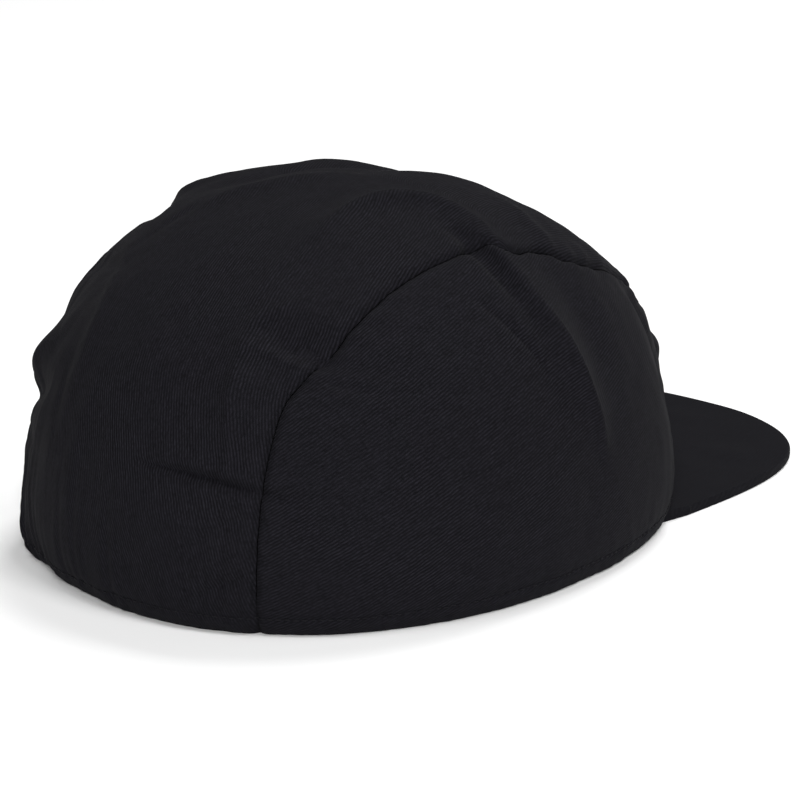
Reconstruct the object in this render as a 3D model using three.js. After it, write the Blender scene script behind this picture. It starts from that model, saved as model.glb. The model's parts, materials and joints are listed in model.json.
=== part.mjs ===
// Soft jockey cap: a centre strip from nape to brow, two arched side panels, a hem turned up
// inside round the rim, and a stiff cloth-covered peak.
// Millimetres, +Z up. The cap stands on its rim at z = 0, peak towards -Y, wearer's left at +X.
// The origin is the middle of the whole cap's box, at its bottom.

import * as THREE from 'three';

// Rim, outside the cloth
const RIM_LENGTH = 200;
const RIM_WIDTH = 164;
const RIM_SQUARENESS = 2.15;   // exponent of the rim's curve; 2 is an ellipse, more is squarer
const HEAD_CENTRE_Y = 30;      // the rim's middle lies behind the origin, because of the peak

// Crown
const CROWN_HEIGHT = 103;
const CROWN_LEAN = 4;          // the slumped top leans this far to the wearer's left
const TOP_FLATNESS = 2.74;     // exponents of the crown's profile; more is fuller
const FRONT_FULLNESS = 1.8;
const SIDE_FULLNESS = 2.86;
const BACK_FULLNESS = 1.95;
const HEM_PULL = 0.023;        // share by which the cloth stands out over the drawn-in hem
const NAPE_PULL = 0.012;       // and as much again where elastic draws in the nape
const PULL_RISE = 9;           // height over which it swells out
const HEM_RISE = 12;           // height over which the hem's own moves fade out

// Cloth
const CLOTH = 1.5;
const HEM_CLOTH = 2.4;
const HEM_HEIGHT = 7;
const SEAM_GAP = 0.3;

// Gathers at the nape, which fade up the strip
const GATHER_DEPTH = 0.55;
const GATHER_RISE = 26;

// Peak
const PEAK_LENGTH = 62;        // from the brow's rim to the tip
const PEAK_HALF_WIDTH = 77.6;
const PEAK_CORNER = 70.3;      // half the distance between the corners on the rim
const PEAK_SQUARENESS = 2.43;
const PEAK_THICK = 3;
const PEAK_EDGE_THICK = 1.4;
const PEAK_EDGE = 2.2;         // width of the rounded edge
const PEAK_SWEEP = [0.02, 0.98];  // share of a half turn that its outline takes

// Mesh counts
const FOOT_ROWS = 13;          // up the seam from the rim to a shoulder, at nape and brow alike
const ARCH_ROWS = 44;          // along the seam from shoulder to shoulder
const FOOT_CROWDING = 1.25;    // more brings these rows closer together at the rim
const STRIP_COLUMNS = 20;
const PEAK_COLUMNS = 34;
const PEAK_ROWS = 3;           // from the brow to where the edge is rounded

const COLOURS = { cloth: 0x1c1b20, peak: 0x1b1a1f };

// Places on the crown are a turn, in degrees from the nape (0) over the top (90) to the brow (180),
// and a side, in degrees out from the middle line, positive towards the wearer's left.
const SHOULDER_TURN = { nape: 44, brow: 136 };

// The seams: turn from the nape, and how far out they run on the wearer's right and left
const SEAM = [
  { turn: 0, right: 23.7, left: 34 },
  { turn: 12, right: 23.6, left: 34.5 },
  { turn: 22, right: 23, left: 35 },
  { turn: 33, right: 22.2, left: 35.5 },
  { turn: 40, right: 22, left: 35.5 },
  { turn: 46, right: 23.3, left: 34.5 },
  { turn: 56, right: 24.8, left: 32 },
  { turn: 70, right: 25.7, left: 28.5 },
  { turn: 80, right: 27, left: 27.5 },
  { turn: 88, right: 29, left: 28.5 },
  { turn: 98, right: 30.5, left: 30.5 },
  { turn: 106, right: 32.4, left: 32 },
  { turn: 117, right: 32.6, left: 32 },
  { turn: 130, right: 28.8, left: 29 },
  { turn: 145, right: 28, left: 28 },
  { turn: 162, right: 28.5, left: 28.5 },
  { turn: 180, right: 29, left: 29 },
];

// Share of the rim's reach that the hem is moved by, at bearings in degrees from the nape,
// positive towards the wearer's left
const HEM = [
  { bearing: -180, move: 0 },
  { bearing: -150, move: -0.002 },
  { bearing: -124, move: -0.007 },
  { bearing: -95, move: -0.004 },
  { bearing: -60, move: 0 },
  { bearing: -24, move: 0 },
  { bearing: -8, move: -0.006 },
  { bearing: 4, move: -0.018 },
  { bearing: 16, move: -0.026 },
  { bearing: 24, move: -0.022 },
  { bearing: 33, move: 0.018 },
  { bearing: 46, move: 0.014 },
  { bearing: 64, move: 0 },
  { bearing: 180, move: 0 },
];

// Each fold follows a curve drawn out by three places, [turn, side]. Its lift fades out to both
// sides over its width and towards both ends; a negative lift is a dent. On the right of its route
// the width is multiplied by steep, and sharp below 2 gives the fold an edge.
const FOLDS = [
  { name: 'long crest, foot', from: [30, -17], by: [40, -15], to: [50, -12], width: 4.5, lift: 1.4 },
  { name: 'long crest, rising', from: [47, -13], by: [61, -12], to: [77, -11],
    width: 5.5, lift: 2, steep: 0.6, sharp: 1.7 },
  { name: 'right crest, top', from: [72, -12], by: [92, -4], to: [89, -26],
    width: 5.5, lift: 3.2, steep: 0.7, sharp: 1.5 },
  { name: 'right crest, side', from: [88, -24], by: [81, -47], to: [103, -68],
    width: 8, lift: 4, steep: 0.45, sharp: 1.4 },
  { name: 'tuck under the crest', from: [85, -20], by: [83, -32], to: [85, -46], width: 3.2, lift: -3.2 },
  { name: 'dent before the crest', from: [97, -29], by: [97, -45], to: [110, -62], width: 8, lift: -1.6 },
  { name: 'front swell', from: [99, -3], by: [103, -9], to: [106, -14], width: 5, lift: 0.9 },
  { name: 'front ridge', from: [101, -16], by: [100, -25], to: [102, -33],
    width: 3.6, lift: 1.3, sharp: 1.5 },
  { name: 'dent before the ridge', from: [109, -9], by: [117, -18], to: [127, -24], width: 8, lift: -3.2 },
  { name: 'trough between crests', from: [80, 15], by: [92, 2], to: [112, 3], width: 6, lift: -2.8 },
  { name: 'top ridge', from: [71, 14], by: [80, 6], to: [91, -3], width: 4.5, lift: 1.8, sharp: 1.6 },
  { name: 'notch by the left seam', from: [72, 22], by: [76, 26], to: [79, 31], width: 4.2, lift: -2.8 },
  { name: 'top left swell', from: [79, 28], by: [84, 24], to: [90, 19], width: 5, lift: 2 },
  { name: 'left crest, end', from: [96, 13], by: [99, 10], to: [103, 8], width: 4.5, lift: 0.8 },
  { name: 'left seam swell', from: [48, 34], by: [57, 33], to: [67, 32], width: 7.5, lift: 1.7 },
  { name: 'nape swell, left', from: [4, 30], by: [5, 36], to: [8, 44], width: 7, lift: 1.7 },
  { name: 'left nape shoulder', from: [34, 42], by: [38, 33], to: [44, 26], width: 6, lift: 3.5 },
  { name: 'dent under the shoulder', from: [31, 42], by: [32, 35], to: [33, 22], width: 4.5, lift: -2.8 },
  { name: 'pucker at the right seam', from: [51, -15], by: [52, -21], to: [52, -26],
    width: 4.6, lift: -2.2 },
  { name: 'left crest, side', from: [88, 30], by: [92, 46], to: [104, 62],
    width: 8, lift: 2.2, steep: 1.4 },
  { name: 'dent by the left crest', from: [80, 32], by: [83, 48], to: [94, 64], width: 7, lift: -1.8 },
  { name: 'brow roll, right', from: [149, -25], by: [154, -24], to: [158, -23],
    width: 6, lift: 3.4, steep: 0.7 },
  { name: 'hollow by the brow seam', from: [127, -33], by: [136, -35], to: [144, -38], width: 5, lift: -2 },
  { name: 'brow dent, right', from: [141, -40], by: [150, -40], to: [164, -38], width: 11, lift: -5.2 },
  { name: 'brow dent, left', from: [144, 33], by: [152, 38], to: [161, 44], width: 11, lift: -2 },
];

const rad = THREE.MathUtils.degToRad;
const deg = THREE.MathUtils.radToDeg;
const power = (x, n) => Math.sign(x) * Math.abs(x) ** n;
const mix = THREE.MathUtils.lerp;
const ease = THREE.MathUtils.smoothstep;

// A smooth curve through a table's rows, from one named column to another
function curve(table, from, to) {
  const through = new THREE.CubicInterpolant(table.map((row) => row[from]), table.map((row) => row[to]), 1);
  return (x) => through.evaluate(THREE.MathUtils.clamp(x, table[0][from], table.at(-1)[from]))[0];
}

const hemMove = curve(HEM, 'bearing', 'move');
const seams = { right: curve(SEAM, 'turn', 'right'), left: curve(SEAM, 'turn', 'left') };

// How far out a seam runs at a turn, on the right (hand -1) or the left (hand 1)
const seamSide = (turn, hand) => (hand < 0 ? seams.right : seams.left)(turn);

// Distance from the rim's middle to the rim, towards the unit direction (x, y)
function rimReach(x, y) {
  const across = Math.abs(2 * x / RIM_WIDTH) ** RIM_SQUARENESS;
  const along = Math.abs(2 * y / RIM_LENGTH) ** RIM_SQUARENESS;
  return (across + along) ** (-1 / RIM_SQUARENESS);
}

// The crown without folds. The direction is a unit vector from the rim's middle.
function smoothCrown(direction) {
  const { x, y, z: rise } = direction;
  const flat = Math.hypot(x, y) || 1e-9;
  const [dx, dy] = [x / flat, y / flat];
  const front = Math.max(-dy, 0) ** 2;
  const back = Math.max(dy, 0) ** 2;
  const fullness = FRONT_FULLNESS * front + BACK_FULLNESS * back + SIDE_FULLNESS * (1 - front - back);
  const height = CROWN_HEIGHT * rise;
  const level = Math.max(1 - rise ** TOP_FLATNESS, 0);
  const pull = HEM_PULL + NAPE_PULL * Math.max(dy, 0);
  const swell = 1 + pull * (1 - Math.exp(-height / PULL_RISE)) * (1 - rise ** 2);
  const drawn = 1 + hemMove(deg(Math.atan2(dx, dy))) * Math.exp(-height / HEM_RISE);
  const reach = rimReach(dx, dy) * level ** (1 / fullness) * swell * drawn;
  return new THREE.Vector3(dx * reach + CROWN_LEAN * rise ** 2, dy * reach, height);
}

function direction(turn, side) {
  const [t, s] = [rad(turn), rad(side)];
  return new THREE.Vector3(Math.sin(s), Math.cos(s) * Math.cos(t), Math.cos(s) * Math.sin(t));
}

// The middle of the head, which folds lift away from
const CORE = new THREE.Vector3(0, 0, CROWN_HEIGHT / 4);

// Points along each fold, on the smooth crown
const FOLD_STEPS = 14;
const FOLD_FADE = [4, 16];     // heights between which the folds fade in above the rim
const FOLD_WAVE = [0.08, 0.92];  // part of a half wave that a fold's lift follows along its route
const NARROWEST_FOLD = 4.2;    // the least width that the mesh can follow
const foldPaths = FOLDS.map(({ from, by, to }) => {
  const route = new THREE.QuadraticBezierCurve(...[from, by, to].map((p) => new THREE.Vector2(...p)));
  return route.getPoints(FOLD_STEPS).map((p) => smoothCrown(direction(p.x, p.y)));
});

// How far one fold lifts the cloth at a point of the smooth crown
function liftOf({ width, lift, steep = 1, sharp = 2 }, path, point) {
  const stretch = new THREE.Line3();
  const foot = new THREE.Vector3();
  const away = new THREE.Vector3();
  const heading = new THREE.Vector3();
  let along = 0;
  let nearest = Infinity;
  for (let k = 0; k < FOLD_STEPS; k += 1) {
    stretch.set(path[k], path[k + 1]);
    const share = stretch.closestPointToPointParameter(point, true);
    const distance = stretch.at(share, foot).distanceTo(point);
    if (distance < nearest) {
      nearest = distance;
      along = (k + share) / FOLD_STEPS;
      away.subVectors(point, foot);
      stretch.delta(heading);
    }
  }
  const leftwards = point.clone().sub(CORE).cross(heading).normalize().dot(away.normalize());
  const spread = Math.max(width * mix(1, steep, (1 - leftwards) / 2), NARROWEST_FOLD);
  const fade = Math.sin(Math.PI * mix(...FOLD_WAVE, along));
  return lift * Math.exp(-((nearest / spread) ** sharp)) * fade;
}

// The outer face of the cloth: the smooth crown, moved out by its folds, which fade near the rim
function crown(towards) {
  const point = smoothCrown(towards);
  let lift = 0;
  FOLDS.forEach((fold, i) => { lift += liftOf(fold, foldPaths[i], point); });
  const out = point.clone().sub(CORE).normalize();
  return point.addScaledVector(out, lift * ease(point.z, ...FOLD_FADE));
}

// The volume that the faces enclose, negative where they point inwards
function volume(positions, faces) {
  const corner = (i) => new THREE.Vector3().fromArray(positions, 3 * faces[i]);
  let total = 0;
  for (let i = 0; i < faces.length; i += 3) {
    total += corner(i).dot(corner(i + 1).cross(corner(i + 2))) / 6;
  }
  return total;
}

// A closed wall between two grids of points with the same rows and columns
function wall(outer, inner) {
  const rows = outer.length;
  const columns = outer[0].length;
  const positions = [...outer.flat(), ...inner.flat()].flatMap((p) => [p.x, p.y, p.z]);
  const faces = [];
  const at = (face, r, c) => (face * rows + r) * columns + c;
  const quad = (a, b, c, d) => faces.push(a, b, c, a, c, d);
  for (let r = 0; r < rows - 1; r += 1) {
    for (let c = 0; c < columns - 1; c += 1) {
      quad(at(0, r, c), at(0, r, c + 1), at(0, r + 1, c + 1), at(0, r + 1, c));
      quad(at(1, r, c), at(1, r + 1, c), at(1, r + 1, c + 1), at(1, r, c + 1));
    }
  }
  for (let c = 0; c < columns - 1; c += 1) {
    quad(at(0, 0, c), at(1, 0, c), at(1, 0, c + 1), at(0, 0, c + 1));
    quad(at(0, rows - 1, c), at(0, rows - 1, c + 1), at(1, rows - 1, c + 1), at(1, rows - 1, c));
  }
  for (let r = 0; r < rows - 1; r += 1) {
    quad(at(0, r, 0), at(0, r + 1, 0), at(1, r + 1, 0), at(1, r, 0));
    quad(at(0, r, columns - 1), at(1, r, columns - 1), at(1, r + 1, columns - 1), at(0, r + 1, columns - 1));
  }
  if (volume(positions, faces) < 0) faces.reverse();
  const geometry = new THREE.BufferGeometry();
  geometry.setAttribute('position', new THREE.Float32BufferAttribute(positions, 3));
  geometry.setIndex(faces);
  geometry.computeVertexNormals();
  return geometry;
}

// A cloth panel. towards(row, column) gives a unit direction; the inner face lies a wall's
// thickness inside the outer one, and the hem is thicker.
function panel(rows, columns, towards, detail = () => 0) {
  const outer = [];
  const inner = [];
  const step = 0.2;
  for (let r = 0; r <= rows; r += 1) {
    outer.push([]);
    inner.push([]);
    for (let c = 0; c <= columns; c += 1) {
      const point = crown(towards(r, c));
      const nearRow = Math.min(Math.max(r, step), rows - step);
      const nearColumn = Math.min(Math.max(c, step), columns - step);
      const up = crown(towards(nearRow + step, nearColumn)).sub(crown(towards(nearRow - step, nearColumn)));
      const over = crown(towards(nearRow, nearColumn + step)).sub(crown(towards(nearRow, nearColumn - step)));
      const normal = over.cross(up).normalize();
      if (normal.dot(point.clone().sub(CORE)) < 0) normal.negate();
      if (point.z < 0.01) normal.setZ(0).normalize();
      point.addScaledVector(normal, detail(r, c, point));
      const thick = mix(HEM_CLOTH, CLOTH, ease(point.z, HEM_HEIGHT - 1, HEM_HEIGHT + 1));
      outer[r].push(point);
      inner[r].push(point.clone().addScaledVector(normal, -thick));
    }
  }
  return wall(outer, inner);
}

// Rows lie closer together near the rim, where the hem is
const footShare = (k) => (k / FOOT_ROWS) ** FOOT_CROWDING;

// The turns of the rows along a seam, from the nape to the brow
function seamTurn(row) {
  if (row <= FOOT_ROWS) return SHOULDER_TURN.nape * footShare(Math.max(row, 0));
  if (row <= FOOT_ROWS + ARCH_ROWS) {
    return mix(SHOULDER_TURN.nape, SHOULDER_TURN.brow, (row - FOOT_ROWS) / ARCH_ROWS);
  }
  return mix(180, SHOULDER_TURN.brow, footShare(Math.max(2 * FOOT_ROWS + ARCH_ROWS - row, 0)));
}

// Half the seam's gap, as an angle
const GAP_ANGLE = deg(SEAM_GAP / RIM_LENGTH);

function centreStrip() {
  const rows = 2 * FOOT_ROWS + ARCH_ROWS;
  const towards = (r, c) => {
    const turn = seamTurn(r);
    const right = seamSide(turn, -1) - GAP_ANGLE;
    const left = seamSide(turn, 1) - GAP_ANGLE;
    return direction(turn, mix(-right, left, c / STRIP_COLUMNS));
  };
  // Every other column stands out at the nape, as cloth gathered on elastic does
  const gathers = (r, c, point) => {
    const atNape = point.y > 0 ? 1 : 0;
    const inside = Math.sin(Math.PI * c / STRIP_COLUMNS) ** 0.5;
    const fade = Math.exp(-point.z / GATHER_RISE) * ease(point.z, 0, 3);
    return GATHER_DEPTH * (c % 2 === 0 ? 1 : -1) * atNape * inside * fade;
  };
  return panel(rows, STRIP_COLUMNS, towards, gathers);
}

// A side panel fills the arch between its seam and the rim. Seen from the side its grid is a
// Coons patch: two feet up the seam, the arch between the shoulders, and the rim below.
function sidePanel(hand) {
  const seamAt = (turn) => {
    const d = direction(turn, seamSide(turn, hand) + GAP_ANGLE);
    return new THREE.Vector2(d.y, d.z);
  };
  const rimAt = (u) => {
    const nape = seamSide(0, hand) + GAP_ANGLE;
    const brow = 180 - seamSide(180, hand) - GAP_ANGLE;
    const bearing = rad(mix(nape, brow, u));
    return new THREE.Vector2(Math.cos(bearing), 0);
  };
  const towards = (r, c) => {
    const u = c / ARCH_ROWS;
    const v = footShare(r);
    const napeSeam = seamAt(SHOULDER_TURN.nape * v);
    const browSeam = seamAt(mix(180, SHOULDER_TURN.brow, v));
    const arch = seamAt(mix(SHOULDER_TURN.nape, SHOULDER_TURN.brow, u));
    const napeCorner = seamAt(SHOULDER_TURN.nape);
    const browCorner = seamAt(SHOULDER_TURN.brow);
    const place = rimAt(u).multiplyScalar(1 - v).addScaledVector(arch, v);
    place.addScaledVector(napeSeam, 1 - u).addScaledVector(browSeam, u);
    place.addScaledVector(rimAt(0), -(1 - u) * (1 - v)).addScaledVector(rimAt(1), -u * (1 - v));
    place.addScaledVector(napeCorner, -(1 - u) * v).addScaledVector(browCorner, -u * v);
    return new THREE.Vector3(hand * Math.sqrt(1 - place.lengthSq()), place.x, place.y);
  };
  return panel(FOOT_ROWS, ARCH_ROWS, towards);
}

// The peak lies flat in front of the brow. Its inner edge follows the crown with a small gap,
// its outer edge is a superellipse drawn in to the corners.
function peak() {
  const cornerY = -rimY(PEAK_CORNER);
  const reach = RIM_LENGTH / 2 + PEAK_LENGTH + cornerY;
  const top = [];
  const bottom = [];
  for (let c = 0; c <= PEAK_COLUMNS; c += 1) {
    const s = Math.PI * mix(...PEAK_SWEEP, c / PEAK_COLUMNS);
    const wide = -PEAK_HALF_WIDTH * power(Math.cos(s), 2 / PEAK_SQUARENESS);
    const inwards = 1 - Math.sin(s);
    const edge = new THREE.Vector2(
      mix(wide, Math.sign(wide) * PEAK_CORNER, inwards),
      cornerY - reach * Math.sin(s) ** (2 / PEAK_SQUARENESS));
    const x = PEAK_CORNER * -Math.cos(s);
    const foot = new THREE.Vector2(x, -rimY(x));
    const away = edge.clone().sub(foot);
    const length = away.length();
    away.normalize();
    const heading = foot.clone().normalize();
    const root = heading.clone().multiplyScalar(crownAtPeak(heading));
    const rim = edge.clone().addScaledVector(away, -Math.min(PEAK_EDGE, length / 2));
    const line = [];
    for (let r = 0; r <= PEAK_ROWS; r += 1) {
      line.push({ place: root.clone().lerp(rim, r / PEAK_ROWS), half: PEAK_THICK / 2 });
    }
    line.push({ place: edge, half: PEAK_EDGE_THICK / 2 });
    top.push(line.map(({ place, half }) => new THREE.Vector3(place.x, place.y, PEAK_THICK / 2 + half)));
    bottom.push(line.map(({ place, half }) => new THREE.Vector3(place.x, place.y, PEAK_THICK / 2 - half)));
  }
  return wall(top, bottom);
}

// How far in front of the rim's middle, or behind it, the rim is at x
function rimY(x) {
  return RIM_LENGTH / 2 * (1 - Math.abs(2 * x / RIM_WIDTH) ** RIM_SQUARENESS) ** (1 / RIM_SQUARENESS);
}

// How far out the peak starts, so that it clears the cloth that swells over the hem
function crownAtPeak(bearing) {
  const rise = PEAK_THICK / CROWN_HEIGHT;
  const flat = Math.sqrt(1 - rise ** 2);
  const cloth = smoothCrown(new THREE.Vector3(bearing.x * flat, bearing.y * flat, rise));
  return Math.hypot(cloth.x, cloth.y) + SEAM_GAP;
}

function piece(name, geometry, colour) {
  const material = new THREE.MeshStandardMaterial({ color: colour, roughness: 0.9, metalness: 0 });
  const mesh = new THREE.Mesh(geometry, material);
  mesh.name = name;
  return mesh;
}

const cap = new THREE.Group();
cap.position.y = HEAD_CENTRE_Y;
cap.add(
  piece('centre_strip', centreStrip(), COLOURS.cloth),
  piece('side_panel_right', sidePanel(-1), COLOURS.cloth),
  piece('side_panel_left', sidePanel(1), COLOURS.cloth),
  piece('peak', peak(), COLOURS.peak),
);

export default cap;
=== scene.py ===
"""A soft black jockey cap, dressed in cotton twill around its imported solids.

The crown has a centre strip from nape to brow and two arched side panels. Its lower edge is turned
up inside as a hem with one row of stitches, elastic gathers the nape, and a board covered in the
same twill makes the peak. Shapes are worked out in millimetres and made in metres.
"""

from __future__ import annotations

import json
import logging
import math
from dataclasses import dataclass, field
from enum import Enum, IntEnum

import bpy
import numpy as np
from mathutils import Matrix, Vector

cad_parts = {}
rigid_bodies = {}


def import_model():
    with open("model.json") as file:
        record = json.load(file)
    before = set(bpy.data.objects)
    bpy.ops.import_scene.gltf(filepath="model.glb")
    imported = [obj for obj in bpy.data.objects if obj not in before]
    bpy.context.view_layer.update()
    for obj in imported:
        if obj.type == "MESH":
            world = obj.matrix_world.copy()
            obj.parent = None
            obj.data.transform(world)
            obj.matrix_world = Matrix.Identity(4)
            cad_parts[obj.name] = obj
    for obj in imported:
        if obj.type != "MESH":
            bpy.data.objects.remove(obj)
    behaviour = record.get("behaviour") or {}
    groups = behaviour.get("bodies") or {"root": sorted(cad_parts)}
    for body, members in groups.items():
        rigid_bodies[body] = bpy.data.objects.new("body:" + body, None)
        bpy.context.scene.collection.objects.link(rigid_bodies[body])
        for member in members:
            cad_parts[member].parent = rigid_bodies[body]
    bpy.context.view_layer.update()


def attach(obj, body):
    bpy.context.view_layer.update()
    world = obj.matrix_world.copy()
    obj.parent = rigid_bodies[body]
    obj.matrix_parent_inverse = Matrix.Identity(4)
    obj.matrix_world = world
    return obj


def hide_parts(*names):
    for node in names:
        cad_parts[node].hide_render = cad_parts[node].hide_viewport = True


logging.basicConfig(level=logging.INFO, format="%(message)s")
log = logging.getLogger("jockey_cap")

MM = 0.001
Array = np.ndarray

# How far the hem's stitches stand off the cloth, in millimetres
STITCH_OUT = 0.12


class Hand(Enum):
    """The wearer's side that a piece is on, as the sign of its x."""

    RIGHT = -1
    LEFT = 1


class Seed(IntEnum):
    """A fixed seed for each random field."""

    BROAD_CRINKLE = 3
    FINE_CRINKLE = 4
    SEAM_PUCKERS = 20
    HEM_BEADS = 31
    GATHERS = 41
    LONG_GATHERS = 42
    RAGGED_EDGE = 51
    PEAK_SLACK = 61


def ease(x: Array, low: float, high: float) -> Array:
    """Rises smoothly from 0 at low to 1 at high."""
    t = np.clip((np.asarray(x, float) - low) / (high - low), 0.0, 1.0)
    return t * t * (3.0 - 2.0 * t)


def clustered(count: int, pull: float) -> Array:
    """Shares from 0 to 1 that lie closer together at both ends.

    Args:
        count: how many steps there are.
        pull: 0 for even steps, towards 1 for ever finer steps at the ends.

    Returns:
        count + 1 shares.
    """
    even = np.linspace(0.0, 1.0, count + 1)
    return even - pull * np.sin(2.0 * np.pi * even) / (2.0 * np.pi)


def hermite(start: Array, end: Array, leaving: Array, arriving: Array, t: Array) -> Array:
    """Smooth curves from start to end that have given slopes at both.

    Args:
        start: the values at 0.
        end: the values at 1.
        leaving: the slopes at 0.
        arriving: the slopes at 1.
        t: shares of the way, from 0 to 1.

    Returns:
        The values at t.
    """
    return (
        start * (1 + 2 * t) * (1 - t) ** 2
        + leaving * t * (1 - t) ** 2
        + end * t * t * (3 - 2 * t)
        + arriving * t * t * (t - 1)
    )


def through_rows(x: Array, rows: list[tuple[float, float]]) -> Array:
    """A smooth curve through rows of (place, value).

    Args:
        x: places to read.
        rows: (place, value) rows in rising order of place.

    Returns:
        The curve's values at x.
    """
    at, value = np.array(rows, float).T
    slope = np.gradient(value, at)
    x = np.clip(x, at[0], at[-1])
    i = np.clip(np.searchsorted(at, x, side="right") - 1, 0, len(at) - 2)
    step = at[i + 1] - at[i]
    t = (x - at[i]) / step
    return hermite(value[i], value[i + 1], slope[i] * step, slope[i + 1] * step, t)


def direction(turn: Array, side: Array) -> Array:
    """The unit direction of a place on the crown.

    Args:
        turn: degrees from the nape (0) over the top (90) to the brow (180).
        side: degrees out from the middle line, positive to the wearer's left.

    Returns:
        Directions, with x, y and z in the last axis.
    """
    t, s = np.radians(turn), np.radians(side)
    t, s = np.broadcast_arrays(t, s)
    return np.stack([np.sin(s), np.cos(s) * np.cos(t), np.cos(s) * np.sin(t)], -1)


def unit(vectors: Array) -> Array:
    """The vectors at length 1."""
    return vectors / np.maximum(np.linalg.norm(vectors, axis=-1, keepdims=True), 1e-12)


def grid_normals(points: Array, centre: Array) -> Array:
    """Outward unit normals of a grid of points around a centre.

    Args:
        points: the grid.
        centre: a point inside the form.

    Returns:
        A unit normal for each point.
    """
    normals = unit(np.cross(np.gradient(points, axis=0), np.gradient(points, axis=1)))
    inwards = ((points - centre) * normals).sum(-1).mean() < 0
    return -normals if inwards else normals


@dataclass(frozen=True)
class Fold:
    """A crest, or with a negative lift a dent, along a curve drawn by three places.

    Places are (turn, side) in degrees, and width and lift are millimetres. On the right of its
    route the fold is steep times as wide. A value of sharp below 2 gives it an edge.
    """

    name: str
    start: tuple[float, float]
    middle: tuple[float, float]
    end: tuple[float, float]
    width: float
    lift: float
    steep: float = 1.0
    sharp: float = 2.0

    def route(self, steps: int) -> Array:
        """Turns and sides along the fold's curve.

        Args:
            steps: how many steps there are.

        Returns:
            steps + 1 places.
        """
        t = np.linspace(0.0, 1.0, steps + 1)[:, None]
        a, b, c = (np.array(p, float) for p in (self.start, self.middle, self.end))
        return a * (1 - t) ** 2 + b * 2 * t * (1 - t) + c * t**2


# Folds that the solids have too. Three crests, the long one's rise and the right one's two parts,
# are sharper here and run up to two degrees aside.
MAIN_FOLDS = (
    Fold("long crest, foot", (30, -17), (40, -15), (50, -12), 4.5, 1.4),
    Fold("long crest, rising", (47, -13), (61, -11), (77, -11), 5.5, 1.5, 0.6, 1.5),
    Fold("right crest, top", (72, -11), (91, -5), (88, -27), 5.5, 3.2, 0.7, 1.35),
    Fold("right crest, side", (87, -24), (79, -48), (102, -69), 8.0, 4.0, 0.45, 1.25),
    Fold("tuck under the crest", (85, -20), (83, -32), (85, -46), 3.2, -3.2),
    Fold("dent before the crest", (97, -29), (97, -45), (110, -62), 8.0, -1.6),
    Fold("front swell", (99, -3), (103, -9), (106, -14), 5.0, 0.9),
    Fold("front ridge", (101, -16), (100, -25), (102, -33), 3.6, 1.3, 1.0, 1.5),
    Fold("dent before the ridge", (109, -9), (117, -18), (127, -24), 8.0, -3.2),
    Fold("trough between crests", (80, 15), (92, 2), (112, 3), 6.0, -2.8),
    Fold("top ridge", (71, 14), (80, 6), (91, -3), 4.5, 1.8, 1.0, 1.6),
    Fold("notch by the left seam", (72, 22), (76, 26), (79, 31), 4.2, -2.8),
    Fold("top left swell", (79, 28), (84, 24), (90, 19), 5.0, 2.0),
    Fold("left crest, end", (96, 13), (99, 10), (103, 8), 4.5, 0.8),
    Fold("left seam swell", (48, 34), (57, 33), (67, 32), 7.5, 1.7),
    Fold("nape swell, left", (4, 30), (5, 36), (8, 44), 7.0, 1.7),
    Fold("left nape shoulder", (34, 42), (38, 33), (44, 26), 6.0, 3.5),
    Fold("dent under the shoulder", (31, 42), (32, 35), (33, 22), 4.5, -2.8),
    Fold("pucker at the right seam", (51, -15), (52, -21), (52, -26), 4.6, -2.2),
    Fold("left crest, side", (88, 30), (92, 46), (104, 62), 8.0, 2.2, 1.4),
    Fold("dent by the left crest", (80, 32), (83, 48), (94, 64), 7.0, -1.8),
    Fold("brow roll, right", (149, -25), (154, -24), (158, -23), 6.0, 3.4, 0.7),
    Fold("hollow by the brow seam", (127, -33), (136, -35), (144, -38), 5.0, -2.0),
    Fold("brow dent, right", (141, -40), (150, -40), (164, -38), 11.0, -5.2),
    Fold("brow dent, left", (144, 33), (152, 38), (161, 44), 11.0, -2.0),
)

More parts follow.
